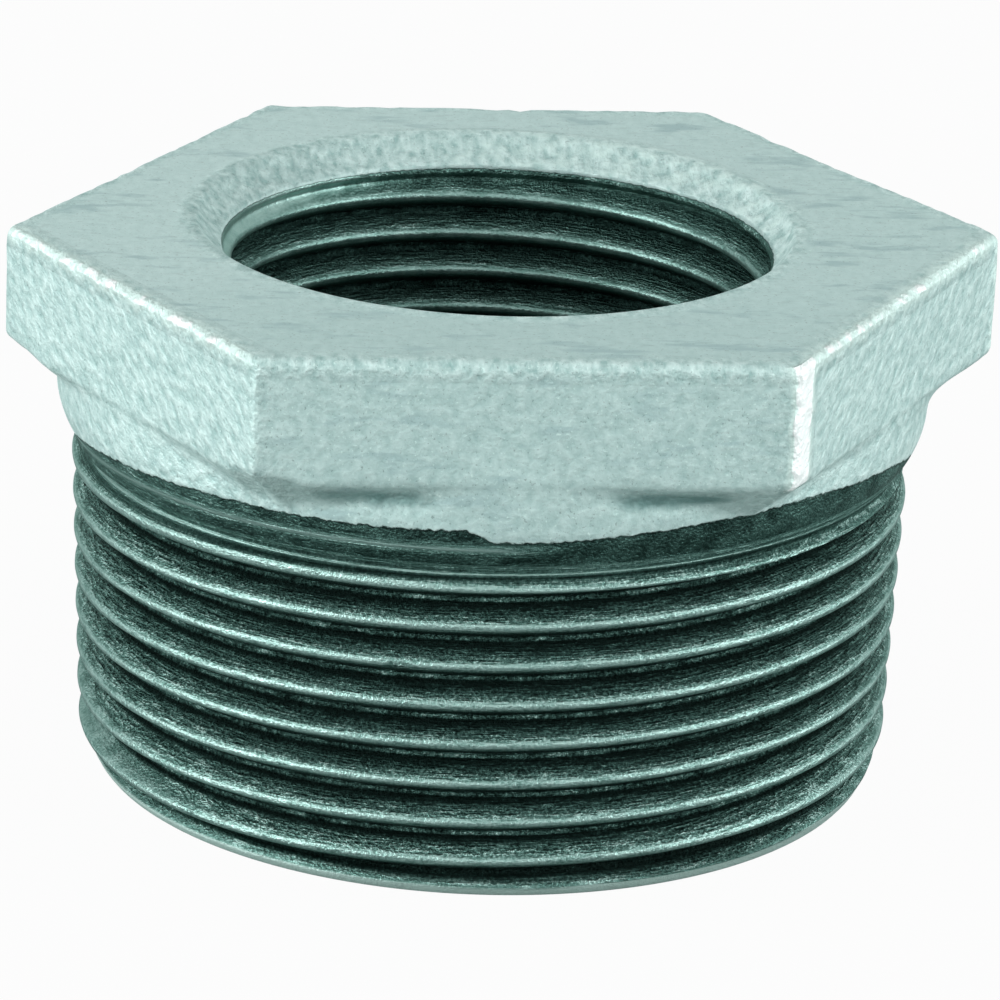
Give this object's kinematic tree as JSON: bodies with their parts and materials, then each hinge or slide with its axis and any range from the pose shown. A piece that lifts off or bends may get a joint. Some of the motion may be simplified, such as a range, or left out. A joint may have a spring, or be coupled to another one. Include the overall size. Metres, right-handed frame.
{
  "type": "hex bushing",
  "caption": "Hexagonal reducing bushing for pipe, cast in one piece: tapered pipe thread outside, smaller parallel pipe thread inside, wrench flats on the head.",
  "frame": {"origin": "middle of the threaded end's flat bottom face, on the pipe axis", "axes": "+Z along the pipe axis towards the hexagon's face; the wrench flats of the front and back lie square to the Y axis"},
  "size_m": [0.0567, 0.05, 0.0317],
  "materials": {
    "galvanised_iron": "hot-dip galvanised as-cast skin, threads machined after casting"
  },
  "bodies": {
    "root": {"bushing": "galvanised_iron"}
  },
  "joints": []
}
